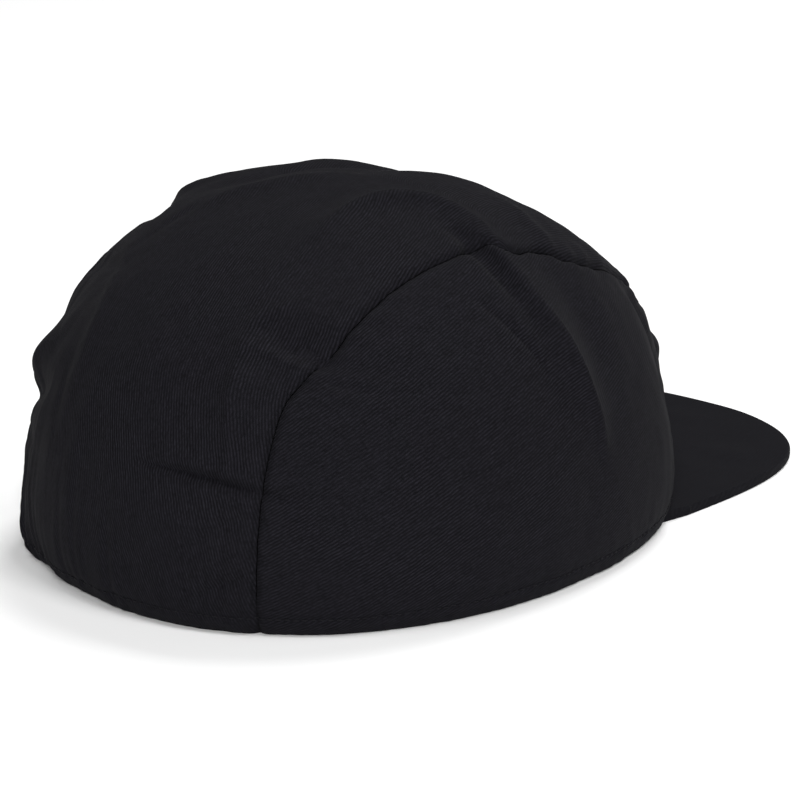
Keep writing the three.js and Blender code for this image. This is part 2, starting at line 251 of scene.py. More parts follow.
# Creases, edges and swells that only this dressed form has
CREASES = (
    Fold("thin crease on the side", (74, -34), (78, -44), (80, -56), 1.2, -1.2, 1.0, 1.4),
    Fold("swell by the crease", (79, -38), (80, -48), (82, -58), 2.4, 0.3),
    Fold("pucker, lower edge", (47, -12), (46, -19), (45, -25), 3.2, 1.1, 0.3, 1.4),
    Fold("pucker, upper edge", (48, -12), (54, -13), (59, -18), 1.8, 0.8, 1.0, 1.3),
    Fold("pucker, heart", (50, -15), (50, -21), (49, -27), 2.6, -2.6, 2.0, 1.4),
    Fold("pucker, side crease", (45, -24), (45, -29), (48, -36), 1.4, -0.8, 1.0, 1.4),
    Fold("pucker, side dent", (49, -26), (51, -31), (53, -38), 2.8, -0.8),
    Fold("pucker, side swell", (43, -26), (43, -31), (45, -37), 2.6, 0.5),
    Fold("pinch", (25, -3), (25, -15), (24, -26), 0.9, -2.3, 1.0, 1.7),
    Fold("pinch, upper lip", (27, -7), (27, -16), (26, -24), 1.8, 1.2, 1.0, 1.4),
    Fold("pinch, lower lip", (23, -8), (23, -16), (22, -24), 1.8, 0.9, 1.0, 1.4),
    Fold("pinch on the side", (24, -24), (25, -29), (27, -37), 1.3, -1.1, 1.0, 1.4),
    Fold("pinch on the side, lip", (26, -25), (26, -32), (31, -40), 2.4, 0.6),
    Fold("swell by the seam", (28, -19), (33, -20), (38, -20), 2.8, 0.7),
    Fold("foot crease", (14, -14), (19, -18), (20, -23), 2.4, -1.4, 1.0, 1.5),
    Fold("foot swell", (10, -15), (14, -18), (16, -23), 2.6, 0.9, 1.0, 1.5),
    Fold("bulge under the pinch", (16, 0), (19, -12), (17, -24), 8.0, 1.5),
    Fold("low crease", (5, -14), (9, -18), (10, -23), 2.0, -1.2, 1.0, 1.6),
    Fold("light line on the long crest", (26, -18), (35, -15), (43, -13), 1.6, 1.0, 1.0, 1.2),
    Fold("edge of the long crest", (30, -18), (42, -13), (54, -12), 1.5, 0.8, 1.0, 1.2),
    Fold("line by the long crest", (49, -12), (60, -11), (73, -11), 1.2, -0.9, 1.0, 1.3),
    Fold("edge of the top crest", (72, -11), (92, -4), (88, -28), 1.3, 0.95, 1.0, 1.2),
    Fold("edge of the side crest", (88, -26), (81, -48), (102, -69), 1.4, 0.95, 1.0, 1.2),
    Fold("tuck at the seam", (85, -22), (86, -30), (84, -38), 1.7, -2.0, 1.0, 1.4),
    Fold("ridge by the left facet", (63, 20), (46, 12), (33, 15), 5.0, 0.8, 0.5, 1.4),
    Fold("crease down the nape", (26, 16), (33, 18), (41, 17), 2.2, -0.7, 1.0, 1.6),
    Fold("slant on the nape", (53, 6), (47, -2), (41, -7), 3.0, -0.5),
    Fold("crease over the top", (62, 17), (72, 12), (82, 8), 2.0, -0.6, 1.0, 1.6),
    Fold("brow crease, right", (129, -14), (132, -22), (134, -34), 3.5, 0.7),
    Fold("brow crease, left", (126, 12), (130, 22), (131, 34), 3.5, 0.9),
    Fold("front crease, left", (104, 18), (106, 28), (112, 42), 3.0, -0.9),
    Fold("left seam pucker", (56, 14), (58, 22), (60, 32), 3.4, -1.0),
    Fold("left thin crease", (74, 38), (78, 48), (84, 58), 2.2, -0.7),
    Fold("left pinch", (22, 24), (24, 32), (29, 40), 2.2, -0.7),
)

# The seams: turn from the nape, and how far out they run on the wearer's right and left. The right
# one bends more where it meets the crest than in the solids.
SEAM_ROWS = [
    (0, 23.7, 34.0), (12, 23.6, 34.5), (22, 23.0, 35.0), (33, 22.2, 35.5), (40, 22.0, 35.5),
    (46, 23.3, 34.5), (56, 24.8, 32.0), (70, 25.7, 28.5), (80, 26.8, 27.5), (86, 27.2, 28.2),
    (90, 30.4, 28.8), (98, 31.0, 30.5), (103, 32.8, 31.5), (117, 32.6, 32.0), (130, 28.8, 29.0),
    (145, 28.0, 28.0), (162, 28.5, 28.5), (180, 29.0, 29.0),
]  # fmt: skip

# Share of the rim's reach that the hem is moved by, at bearings in degrees from the nape
HEM_ROWS = [
    (-180, 0.0), (-150, -0.002), (-124, -0.007), (-95, -0.004), (-60, 0.0), (-24, 0.0),
    (-8, -0.006), (4, -0.018), (16, -0.026), (24, -0.022), (33, 0.018),
    (46, 0.014), (64, 0.0), (180, 0.0),
]  # fmt: skip


@dataclass(frozen=True)
class CrownForm:
    """The crown's outer face: a rounded form over the rim, moved by its folds, in millimetres."""

    rim_length: float = 200.0
    rim_width: float = 164.0
    rim_squareness: float = 2.15
    head_centre_y: float = 30.0
    height: float = 103.0
    lean: float = 4.0
    top_flatness: float = 2.74
    front_fullness: float = 1.8
    side_fullness: float = 2.86
    back_fullness: float = 1.95
    hem_pull: float = 0.023
    nape_pull: float = 0.012
    pull_rise: float = 9.0
    hem_rise: float = 12.0
    fold_steps: int = 14
    fold_fade: float = 0.08
    fold_reach: float = 2.8
    fold_rise: tuple[float, float] = (4.0, 16.0)

    @property
    def core(self) -> Array:
        """The middle of the head, which folds lift away from."""
        return np.array([0.0, self.head_centre_y, self.height / 4])

    def rim_reach(self, dx: Array, dy: Array) -> Array:
        """Distance from the rim's middle to the rim, towards (dx, dy).

        Args:
            dx: the x of each unit direction.
            dy: the y of each unit direction.

        Returns:
            A distance for each direction.
        """
        n = self.rim_squareness
        across = np.abs(2 * dx / self.rim_width) ** n
        along = np.abs(2 * dy / self.rim_length) ** n
        return (across + along) ** (-1 / n)

    def rim_y(self, x: Array) -> Array:
        """How far in front of the rim's middle the rim is at x."""
        n = self.rim_squareness
        return self.rim_length / 2 * (1 - np.abs(2 * x / self.rim_width) ** n) ** (1 / n)

    def smooth(self, towards: Array) -> Array:
        """Points of the crown without folds, for unit directions.

        Args:
            towards: unit directions, as direction gives them.

        Returns:
            The points.
        """
        x, y, rise = towards[..., 0], towards[..., 1], np.clip(towards[..., 2], 0, 1)
        flat = np.maximum(np.hypot(x, y), 1e-9)
        dx, dy = x / flat, y / flat
        front, back = np.maximum(-dy, 0) ** 2, np.maximum(dy, 0) ** 2
        fullness = (
            self.front_fullness * front
            + self.back_fullness * back
            + self.side_fullness * (1 - front - back)
        )
        z = self.height * rise
        level = np.maximum(1 - rise**self.top_flatness, 0)
        pull = self.hem_pull + self.nape_pull * np.maximum(dy, 0)
        swell = 1 + pull * (1 - np.exp(-z / self.pull_rise)) * (1 - rise**2)
        drawn = 1 + through_rows(np.degrees(np.arctan2(dx, dy)), HEM_ROWS) * np.exp(-z / self.hem_rise)
        reach = self.rim_reach(dx, dy) * level ** (1 / fullness) * swell * drawn
        return np.stack(
            [dx * reach + self.lean * rise**2, dy * reach + self.head_centre_y, z], -1
        )

    def fold_lift(self, points: Array, folds: tuple[Fold, ...]) -> Array:
        """How far the folds lift the cloth at points of the smooth crown.

        Args:
            points: points of the smooth crown.
            folds: the folds to add up.

        Returns:
            A lift for each point, in millimetres.
        """
        flat = points.reshape(-1, 3)
        total = np.zeros(len(flat))
        for fold in folds:
            path = self.smooth(direction(*fold.route(self.fold_steps).T))
            margin = self.fold_reach * fold.width
            near = np.all((flat > path.min(0) - margin) & (flat < path.max(0) + margin), axis=1)
            if not near.any():
                continue
            p = flat[near][:, None]
            a, step = path[:-1], np.diff(path, axis=0)
            share = np.clip(((p - a) * step).sum(-1) / (step**2).sum(-1), 0, 1)
            away = p - a - share[..., None] * step
            distance = np.linalg.norm(away, axis=-1)
            nearest = distance.argmin(1)
            rows = np.arange(len(nearest))
            along = (nearest + share[rows, nearest]) / self.fold_steps
            up = p[:, 0] - self.core
            leftwards = (unit(np.cross(up, step[nearest])) * unit(away[rows, nearest])).sum(-1)
            width = fold.width * (1 + (fold.steep - 1) * (1 - leftwards) / 2)
            profile = np.exp(-((distance[rows, nearest] / width) ** fold.sharp))
            faded = self.fold_fade + (1 - 2 * self.fold_fade) * along
            total[near] += fold.lift * profile * np.sin(np.pi * faded)
        return (total * ease(flat[:, 2], *self.fold_rise)).reshape(points.shape[:-1])

    def folded(self, towards: Array, folds: tuple[Fold, ...] = MAIN_FOLDS) -> Array:
        """Points of the crown with its folds, for unit directions."""
        points = self.smooth(towards)
        return points + unit(points - self.core) * self.fold_lift(points, folds)[..., None]

    def seam_side(self, turn: Array, hand: Hand) -> Array:
        """How far out from the middle line a seam runs, at a turn.

        Args:
            turn: turns from the nape, in degrees.
            hand: the side that the seam is on.

        Returns:
            Degrees out from the middle line, never negative.
        """
        column = 1 if hand is Hand.RIGHT else 2
        rows = [(row[0], row[column]) for row in SEAM_ROWS]
        return through_rows(np.asarray(turn, float), rows)


@dataclass(frozen=True)
class Ripples:
    """A smooth random field: the sum of seeded waves about as long as its wavelengths."""

    seed: int
    wavelength: tuple[float, float, float]
    waves: int = 24

    def at(self, points: Array) -> Array:
        """The field at points, mostly between -1.5 and 1.5.

        Args:
            points: points, with three coordinates in the last axis.

        Returns:
            A value for each point.
        """
        rng = np.random.default_rng(int(self.seed))
        heading = unit(rng.normal(size=(self.waves, 3)))
        heading *= rng.uniform(0.7, 1.5, (self.waves, 1))
        phase = rng.uniform(0, 2 * np.pi, self.waves)
        turns = (points / np.array(self.wavelength)) @ heading.T
        return np.cos(2 * np.pi * turns + phase).sum(-1) * math.sqrt(2 / self.waves)


class SeamLine:
    """The seam between the strip and one side panel."""

    STEPS = 720

    def __init__(self, form: CrownForm, hand: Hand) -> None:
        """Lays the seam from the nape to the brow.

        Args:
            form: the crown.
            hand: the side that the seam is on.
        """
        self.form, self.hand = form, hand
        self.turns = np.linspace(0, 180, self.STEPS + 1)
        sides = hand.value * form.seam_side(self.turns, hand)
        points = form.smooth(direction(self.turns, sides))
        steps = np.linalg.norm(np.diff(points, axis=0), axis=1)
        self.along = np.concatenate([[0], np.cumsum(steps)])
        heading = unit(np.gradient(points, axis=0))
        beyond = form.smooth(direction(self.turns, sides + 1))
        sideways = beyond - form.smooth(direction(self.turns, sides - 1))
        square = sideways - (sideways * heading).sum(-1, keepdims=True) * heading
        self.per_degree = np.linalg.norm(square, axis=-1) / 2

    def nearest(self, towards: Array) -> tuple[Array, Array]:
        """How far places are from the seam, and how far along it they are.

        Args:
            towards: unit directions of the places.

        Returns:
            Distances across the seam, and distances along it from the nape.
        """
        turn = np.degrees(np.arctan2(towards[..., 2], towards[..., 1]))
        side = np.degrees(np.arcsin(np.clip(towards[..., 0], -1, 1)))
        off = np.abs(side - self.hand.value * self.form.seam_side(turn, self.hand))
        return off * np.interp(turn, self.turns, self.per_degree), np.interp(turn, self.turns, self.along)


@dataclass(frozen=True)
class ClothRelief:
    """Small shapes of sewn cotton, in millimetres out from the crown's folded face."""

    seam_depth: float = 1.5
    seam_roll: float = 1.25
    seam_shape: float = 1.5
    allowance_lift: float = 0.3
    allowance_width: float = 8.0
    allowance_step: tuple[float, float] = (-1.5, 1.0)
    pucker_depth: float = 0.2
    pucker_reach: float = 4.5
    pucker_length: float = 8.0
    pucker_width: float = 14.0
    stitch_pull: float = 0.12
    stitch_pitch: float = 2.8
    stitch_offset: float = 1.0
    stitch_width: float = 1.2
    stitch_height: float = 5.2
    stitch_groove: float = 0.2
    groove_width: float = 0.9
    bead_length: tuple[float, float, float] = (4.5, 9.0, 9.0)
    bead_rise: float = 8.0
    hem_lift: float = 0.08
    hem_step: tuple[float, float] = (-1.2, -0.2)
    hem_roll: float = 0.9
    hem_draw: float = 0.6
    hem_draw_rise: float = 9.0
    hem_pucker: float = 0.1
    gather_depth: float = 0.5
    gather_pitch: float = 5.0
    gather_rise: float = 20.0
    gather_start: tuple[float, float] = (-62.0, -30.0)
    gather_end: tuple[float, float] = (66.0, 92.0)
    gather_growth: tuple[float, float] = (-20.0, 24.0)
    gather_least: float = 0.4
    gather_waves: int = 18
    gather_foot: tuple[float, float] = (0.0, 4.0)
    gather_lean: float = 0.07
    long_pitch: float = 11.0
    long_waves: int = 12
    long_lean: float = 0.04
    long_height: float = 34.0
    long_spread: float = 26.0
    long_share: float = 0.2
    crinkle: float = 0.14
    crinkle_length: tuple[float, float, float] = (26.0, 26.0, 34.0)
    fine_length: tuple[float, float, float] = (9.0, 9.0, 13.0)
    fine_share: float = 0.35

    def height(self, towards: Array, form: CrownForm, seams: list[SeamLine], strip: bool) -> Array:
        """The relief at places on the crown.

        Args:
            towards: a grid of unit directions.
            form: the crown.
            seams: both seams.
            strip: whether the points are on the strip, which the seams' allowances lie under.

        Returns:
            A height for each point.
        """
        points = form.smooth(towards)
        z = points[..., 2]
        total = self.crinkle * Ripples(Seed.BROAD_CRINKLE, self.crinkle_length).at(points)
        fine = Ripples(Seed.FINE_CRINKLE, self.fine_length).at(points)
        total += self.fine_share * self.crinkle * fine
        for k, seam in enumerate(seams):
            distance, along = seam.nearest(towards)
            drift = np.stack([along / self.pucker_length, distance / self.pucker_width, 0 * along], -1)
            pucker = Ripples(Seed.SEAM_PUCKERS + k, (1, 1, 1)).at(drift)
            total -= self.seam_depth * np.exp(-((distance / self.seam_roll) ** self.seam_shape))
            total += self.pucker_depth * pucker * np.exp(-distance / self.pucker_reach)
            ticks = np.cos(2 * np.pi * along / self.stitch_pitch)
            beside = (distance - self.stitch_offset) / self.stitch_width
            total += self.stitch_pull * ticks * np.exp(-(beside**2))
            if strip:
                low, high = (self.allowance_width + step for step in self.allowance_step)
                total += self.allowance_lift * (1 - ease(distance, low, high))
        bearing = np.arctan2(points[..., 0], points[..., 1] - form.head_centre_y)
        around = bearing * form.rim_length / 2
        total += self.gathers(around, z)
        groove = np.exp(-(((z - self.stitch_height) / self.groove_width) ** 2))
        beads = Ripples(Seed.HEM_BEADS, self.bead_length).at(np.stack([around, z, 0 * z], -1))
        total += (self.hem_pucker * beads - self.stitch_groove) * groove
        low, high = (self.stitch_height + step for step in self.hem_step)
        total += self.hem_lift * (1 - ease(z, low, high))
        total -= self.hem_roll * np.clip(1 - z / self.stitch_height, 0, 1) ** 2
        total -= self.hem_draw * np.exp(-z / self.hem_draw_rise)
        total += self.hem_pucker * beads * np.exp(-z / self.bead_rise)
        return total

    def gathers(self, around: Array, z: Array) -> Array:
        """Upright ridges where elastic draws in the nape, stronger towards the wearer's left.

        Args:
            around: distance along the rim from the nape's middle.
            z: height above the rim.

        Returns:
            Heights out from the cloth.
        """
        pitch, long_pitch = self.gather_pitch, self.long_pitch
        place = np.stack([around, z * self.gather_lean, 0 * z], -1)
        ridges = Ripples(Seed.GATHERS, (pitch, pitch, 1), self.gather_waves).at(place)
        place = np.stack([around, z * self.long_lean, 0 * z], -1)
        wavelength = (long_pitch, long_pitch, 1)
        long_ridges = Ripples(Seed.LONG_GATHERS, wavelength, self.long_waves).at(place)
        window = ease(around, *self.gather_start) * (1 - ease(around, *self.gather_end))
        growth = (1 - self.gather_least) * ease(around, *self.gather_growth)
        strength = window * (self.gather_least + growth)
        low = np.exp(-z / self.gather_rise) * ease(z, *self.gather_foot)
        high = np.exp(-(((z - self.long_height) / self.long_spread) ** 2)) * self.long_share
        return strength * self.gather_depth * (ridges * low + long_ridges * high)


def make_mesh(
    name: str, points: Array, faces: list, uvs: Array | None = None, by_corner: bool = False
) -> bpy.types.Object:
    """A mesh object at the origin.

    Args:
        name: the object's name.
        points: its vertices, in millimetres.
        faces: lists of vertex numbers.
        uvs: a place in the cloth for each vertex, in millimetres.
        by_corner: whether there is a place for each corner of each face instead.

    Returns:
        The object, linked to the scene.
    """
    mesh = bpy.data.meshes.new(name)
    mesh.from_pydata((points * MM).tolist(), [], faces)
    if uvs is not None:
        layer = mesh.uv_layers.new(name="cloth")
        corner = np.zeros(len(mesh.loops), np.int64)
        mesh.loops.foreach_get("vertex_index", corner)
        places = uvs if by_corner else uvs[corner]
        layer.data.foreach_set("uv", (places * MM).astype(np.float32).ravel())
    mesh.polygons.foreach_set("use_smooth", [True] * len(mesh.polygons))
    mesh.update()
    piece = bpy.data.objects.new(name, mesh)
    bpy.context.scene.collection.objects.link(piece)
    return piece


def grid_faces(rows: int, columns: int, first: int = 0) -> Array:
    """The quads of a grid whose vertices are numbered row by row from first.

    Args:
        rows: how many rows of vertices there are.
        columns: how many are in a row.
        first: the first number.

    Returns:
        Four vertex numbers for each quad.
    """
    r, c = np.meshgrid(np.arange(rows - 1), np.arange(columns - 1), indexing="ij")
    a = (r * columns + c).ravel() + first
    return np.stack([a, a + 1, a + columns + 1, a + columns], -1)


def wall_faces(rows: int, columns: int) -> list:
    """The quads of a closed wall between two grids, the outer one numbered first.

    Args:
        rows: how many rows of vertices each grid has.
        columns: how many are in a row.

    Returns:
        Lists of four vertex numbers.
    """
    outer = grid_faces(rows, columns)
    inner = grid_faces(rows, columns, rows * columns)[:, ::-1]
    index = np.arange(rows * columns).reshape(rows, columns)
    loop = np.concatenate([index[0, :-1], index[:-1, -1], index[-1, :0:-1], index[:0:-1, 0]])
    after = np.roll(loop, -1)
    rim = np.stack([after, loop, loop + rows * columns, after + rows * columns], -1)
    return np.concatenate([outer, inner, rim]).tolist()


def between(values: Array, count: int) -> Array:
    """Smoothly fills in rows of values, so that there are count + 1 of them.

    Args:
        values: rows of values, along the first axis.
        count: how many steps to make.

    Returns:
        The filled-in rows.
    """
    steps = len(values) - 1
    x = np.linspace(0, steps, count + 1)
    i = np.minimum(x.astype(int), steps - 1)
    t = (x - i).reshape(-1, *[1] * (values.ndim - 1))
    slope = np.gradient(values, axis=0)
    return hermite(values[i], values[i + 1], slope[i], slope[i + 1], t)


def facing_out(points: Array, faces: list) -> list:
    """The faces of a closed shell, turned over if they enclose a negative volume.

    Args:
        points: the shell's vertices.
        faces: its faces, all turned the same way.

    Returns:
        The faces, turned outwards.
    """
    volume = 0.0
    for size in {len(face) for face in faces}:
        ring = points[np.array([face for face in faces if len(face) == size])]
        for k in range(1, size - 1):
            volume += (ring[:, 0] * np.cross(ring[:, k], ring[:, k + 1])).sum()
    return faces if volume > 0 else [face[::-1] for face in faces]


def make_wall(name: str, outer: Array, inner: Array, places: Array) -> bpy.types.Object:
    """A closed wall between two grids of points.

    Args:
        name: the object's name.
        outer: the outer face's points.
        inner: the inner face's points.
        places: places in the cloth, the same for both faces.

    Returns:
        The object, with its faces outwards.
    """
    points = np.concatenate([outer.reshape(-1, 3), inner.reshape(-1, 3)])
    faces = facing_out(points, wall_faces(*outer.shape[:2]))
    return make_mesh(name, points, faces, np.concatenate([places.reshape(-1, 2)] * 2))


def line_at_height(grid: Array, height: float) -> Array:
    """Where each column of a grid, followed from its first row, first passes a height.

    Args:
        grid: rows of points that rise from the rim.
        height: the height to find.

    Returns:
        A point for each column.
    """
    z = grid[..., 2]
    row = np.argmax(z > height, axis=0)
    column = np.arange(z.shape[1])
    low, high = grid[row - 1, column], grid[row, column]
    share = (height - low[:, 2]) / (high[:, 2] - low[:, 2])
    return low + (high - low) * share[:, None]


def flatten(points: Array, every: int, grain: float) -> Array:
    """Lays a grid of points out flat, as the cut cloth was, in millimetres.

    Args:
        points: a grid of points on one face of the cloth, its quads facing outwards.
        every: how many steps of the grid each step of the unwrapped net takes.
        grain: degrees from the first row, anticlockwise, to the warp.

    Returns:
        Two flat coordinates for each point, along the warp and across it.
    """
    net = points[::every, ::every]
    rows, columns = net.shape[:2]
    piece = make_mesh("flat_cut", net.reshape(-1, 3), grid_faces(rows, columns).tolist())
    piece.data.uv_layers.new(name="cut")
    view = bpy.context.view_layer
    view.objects.active = piece
    for other in view.objects:
        other.select_set(other == piece)
    bpy.ops.object.mode_set(mode="EDIT")
    bpy.ops.mesh.select_all(action="SELECT")
    bpy.ops.uv.unwrap(method="ANGLE_BASED", margin=0.0)
    bpy.ops.object.mode_set(mode="OBJECT")
    mesh = piece.data
    corner = np.zeros(len(mesh.loops), np.int64)
    mesh.loops.foreach_get("vertex_index", corner)
    found = np.zeros(2 * len(mesh.loops), np.float32)
    mesh.uv_layers[0].data.foreach_get("uv", found)
    flat = np.zeros((rows * columns, 2))
    flat[corner] = found.reshape(-1, 2)
    bpy.data.objects.remove(piece)
    bpy.data.meshes.remove(mesh)
    flat = flat.reshape(rows, columns, 2)
    scale = math.sqrt(grid_area(net) / grid_area(np.dstack([flat, 0 * flat[..., 0]])))
    first = flat[0, -1] - flat[0, 0]
    spin = complex(*(first / np.linalg.norm(first))).conjugate()
    spin *= complex(math.cos(math.radians(grain)), -math.sin(math.radians(grain)))
    turned = (flat[..., 0] + 1j * flat[..., 1]) * spin * scale
    flat = np.stack([turned.real, turned.imag], -1)
    flat = between(flat, len(points) - 1)
    return np.swapaxes(between(np.swapaxes(flat, 0, 1), points.shape[1] - 1), 0, 1)


def grid_area(points: Array) -> float:
    """The area of a grid of points.

    Args:
        points: the grid, flat or not.

    Returns:
        The area, in the square of its unit.
    """
    across = points[1:, 1:] - points[:-1, :-1]
    other = points[1:, :-1] - points[:-1, 1:]
    return float(np.linalg.norm(np.cross(across, other), axis=-1).sum() / 2)


@dataclass
class Crown:
    """The three cloth panels and their hem, in millimetres, and the counts of their grids."""

    form: CrownForm = field(default_factory=CrownForm)
    relief: ClothRelief = field(default_factory=ClothRelief)
    cloth: float = 1.5
    hem_cloth: float = 2.4
    hem_height: float = 7.5
    hem_step: tuple[float, float] = (-0.4, 0.2)
    level_rim: tuple[float, float] = (0.2, 3.0)
    inner_share: float = 0.7
    seam_gap: float = 0.25
    gap_rise: tuple[float, float] = (9.0, 14.0)
    strip_rows: int = 320
    strip_columns: int = 148
    side_rows: int = 152
    side_columns: int = 256
    end_pull: float = 0.35
    edge_pull: float = 0.6
    net_step: int = 8
    side_grain: float = 6.5
    shoulder_nape: float = 44.0
    shoulder_brow: float = 136.0
    allowance_rows: int = 320
    allowance_columns: int = 12
    allowance_thick: float = 1.0
    allowance_over: float = 1.6
    allowance_clear: float = 0.15
    allowance_ragged: float = 0.04
    allowance_drop: float = 0.75
    drop_width: float = 1.8
    allowance_ends: tuple[float, float] = (4.7, 175.3)
    flats: dict[str, tuple[float, float, float]] = field(default_factory=dict)

    def __post_init__(self) -> None:
        """Lays both seams."""
        self.seams = {hand: SeamLine(self.form, hand) for hand in Hand}
        self.row_paths: dict[str, list[Array]] = {"outer": [], "inner": []}

    def half_gap(self, turn: Array) -> Array:
        """Degrees from the seam to a panel's edge, none where the hem is closed."""
        height = self.form.height * np.sin(np.radians(turn))
        return np.degrees(self.seam_gap * ease(height, *self.gap_rise) / self.form.rim_length)

    def faces(self, towards: Array, strip: bool) -> tuple[Array, Array]:
        """The cloth's outer and inner faces, rounded into each other at the rim.

        Args:
            towards: a grid of unit directions.
            strip: whether they are on the strip.

        Returns:
            Both faces' points.
        """
        form = self.form
        folded = form.folded(towards)
        normals = grid_normals(folded, form.core)
        z = folded[..., 2]
        normals[..., 2] *= ease(z, *self.level_rim)
        normals = unit(normals)
        relief = self.relief.height(towards, form, list(self.seams.values()), strip)
        relief += form.fold_lift(form.smooth(towards), CREASES)
        low, high = (self.hem_height + step for step in self.hem_step)
        closed = 1 - ease(z, low, high)
        thick = self.cloth + (self.hem_cloth - self.cloth) * closed
        radius = self.hem_cloth / 2
        inset = radius - np.sqrt(np.maximum(radius**2 - np.maximum(radius - z, 0) ** 2, 0))
        inner = self.inner_share * np.minimum(relief, 0) - thick + inset
        return folded + normals * (relief - inset)[..., None], folded + normals * inner[..., None]

    def panel(self, name: str, towards: Array, strip: bool, uvs: Array | None) -> bpy.types.Object:
        """A closed cloth panel.

        Args:
            name: the piece's name.
            towards: a grid of unit directions, its quads facing outwards.
            strip: whether it is the strip.
            uvs: places in the cloth, or None to lay the panel flat.

        Returns:
            The piece.
        """
        outer, inner = self.faces(towards, strip)
        self.keep_rows(outer, inner, strip)
        if uvs is None:
            uvs = flatten(outer, self.net_step, self.side_grain)
        piece = make_wall(name, outer, inner, uvs)
        size = np.ptp(uvs.reshape(-1, 2), axis=0)
        area = grid_area(np.dstack([uvs, 0 * uvs[..., 0]]))
        log.info("%s lies flat in %.0f by %.0f mm, %.0f cm2", name, size[0], size[1], area / 100)
        self.flats[name] = (float(size[1]) * MM, float(size[0]) * MM, area * MM**2)
        return piece

    def keep_rows(self, outer: Array, inner: Array, strip: bool) -> None:
        """Keeps the lines at the stitches' height, outside and in, of a panel or both strip ends.

        Args:
            outer: the panel's outer face.
            inner: its inner face.
            strip: whether it is the strip.
        """
        for key, face in (("outer", outer), ("inner", inner)):
            ends = (face, face[::-1]) if strip else (face,)
            for end in ends:
                self.row_paths[key].append(line_at_height(end, self.relief.stitch_height))

    def strip(self) -> bpy.types.Object:
        """The centre strip, from the nape's rim to the brow's.

        Returns:
            The piece.
        """
        turn = 180 * clustered(self.strip_rows, self.end_pull)[:, None]
        across = clustered(self.strip_columns, self.edge_pull)[None, :]
        left = self.form.seam_side(turn, Hand.LEFT) - self.half_gap(turn)
        right = self.form.seam_side(turn, Hand.RIGHT) - self.half_gap(turn)
        towards = direction(turn, left * (1 - across) - right * across)
        face = self.form.smooth(towards)
        middle = face[:, self.strip_columns // 2]
        lengths = np.concatenate([[0], np.cumsum(np.linalg.norm(np.diff(middle, axis=0), axis=1))])
        widths = np.linalg.norm(np.diff(face, axis=1), axis=2).cumsum(1)
        widths = np.concatenate([np.zeros((len(turn), 1)), widths], 1)
        across_mm = widths[:, self.strip_columns // 2, None] - widths
        uvs = np.dstack([np.repeat(lengths[:, None], len(across[0]), 1), across_mm])
        return self.panel("centre_strip_cloth", towards, True, uvs)

    def panel_edge(self, turn: Array, hand: Hand) -> Array:
        """How far out a side panel begins, in degrees, at a turn."""
        return self.form.seam_side(turn, hand) + self.half_gap(turn)

    def seam_place(self, turn: Array, hand: Hand) -> Array:
        """The y and z of the direction in which a side panel meets its seam, at a turn."""
        return direction(turn, self.panel_edge(turn, hand))[..., 1:]

    def side(self, hand: Hand) -> bpy.types.Object:
        """A side panel: a Coons patch between its seam and the rim, as seen from the side.

        Args:
            hand: the side that it is on.

        Returns:
            The piece.
        """
        u = clustered(self.side_columns, self.edge_pull)[None, :]
        v = clustered(self.side_rows, self.edge_pull)[:, None]
        nape, brow = self.shoulder_nape, self.shoulder_brow
        ends = self.panel_edge(np.array([0.0, 180.0]), hand)
        bearing = np.radians(ends[0] + (180 - ends[0] - ends[1]) * u)
        rim = np.stack([np.cos(bearing), 0 * bearing], -1)
        arch = self.seam_place(nape + (brow - nape) * u, hand)
        left = self.seam_place(nape * v, hand)
        right = self.seam_place(180 + (brow - 180) * v, hand)
        u, v = u[..., None], v[..., None]
        place = rim * (1 - v) + arch * v + left * (1 - u) + right * u
        place = place - rim[:, :1] * (1 - u) * (1 - v) - rim[:, -1:] * u * (1 - v)
        place = place - arch[:, :1] * (1 - u) * v - arch[:, -1:] * u * v
        out = np.sqrt(1 - (place**2).sum(-1, keepdims=True))
        towards = np.concatenate([hand.value * out, place], -1)
        if hand is Hand.LEFT:
            towards = towards[:, ::-1]
        return self.panel(f"side_panel_{hand.name.lower()}_cloth", towards, False, None)

    def allowance(self, hand: Hand) -> bpy.types.Object:
        """The two seam allowances, pressed together against the strip's inside.

        Args:
            hand: the side that the seam is on.

        Returns:
            The piece.
        """
        seam, relief = self.seams[hand], self.relief
        turn = np.linspace(*self.allowance_ends, self.allowance_rows + 1)[:, None]
        off = np.linspace(-self.allowance_over, relief.allowance_width, self.allowance_columns + 1)[None, :]
        ragged = Ripples(Seed.RAGGED_EDGE, (4, 1, 1)).at(np.dstack([turn, 0 * turn, 0 * turn]))
        off = off * (1 + self.allowance_ragged * ragged)
        degrees = off / np.interp(turn, seam.turns, seam.per_degree)
        towards = direction(turn, hand.value * (self.form.seam_side(turn, hand) - degrees))
        folded = self.form.folded(towards)
        normals = grid_normals(folded, self.form.core)
        drop = relief.seam_depth * self.allowance_drop * np.exp(-((off / self.drop_width) ** 2))
        sunk = self.cloth + self.allowance_clear + drop
        flat = np.dstack([np.interp(turn, seam.turns, seam.along) + 0 * off, off + 0 * turn])
        outer = folded - normals * sunk[..., None]
        inner = outer - normals * self.allowance_thick
        return make_wall(f"seam_allowance_{hand.name.lower()}", outer, inner, flat)


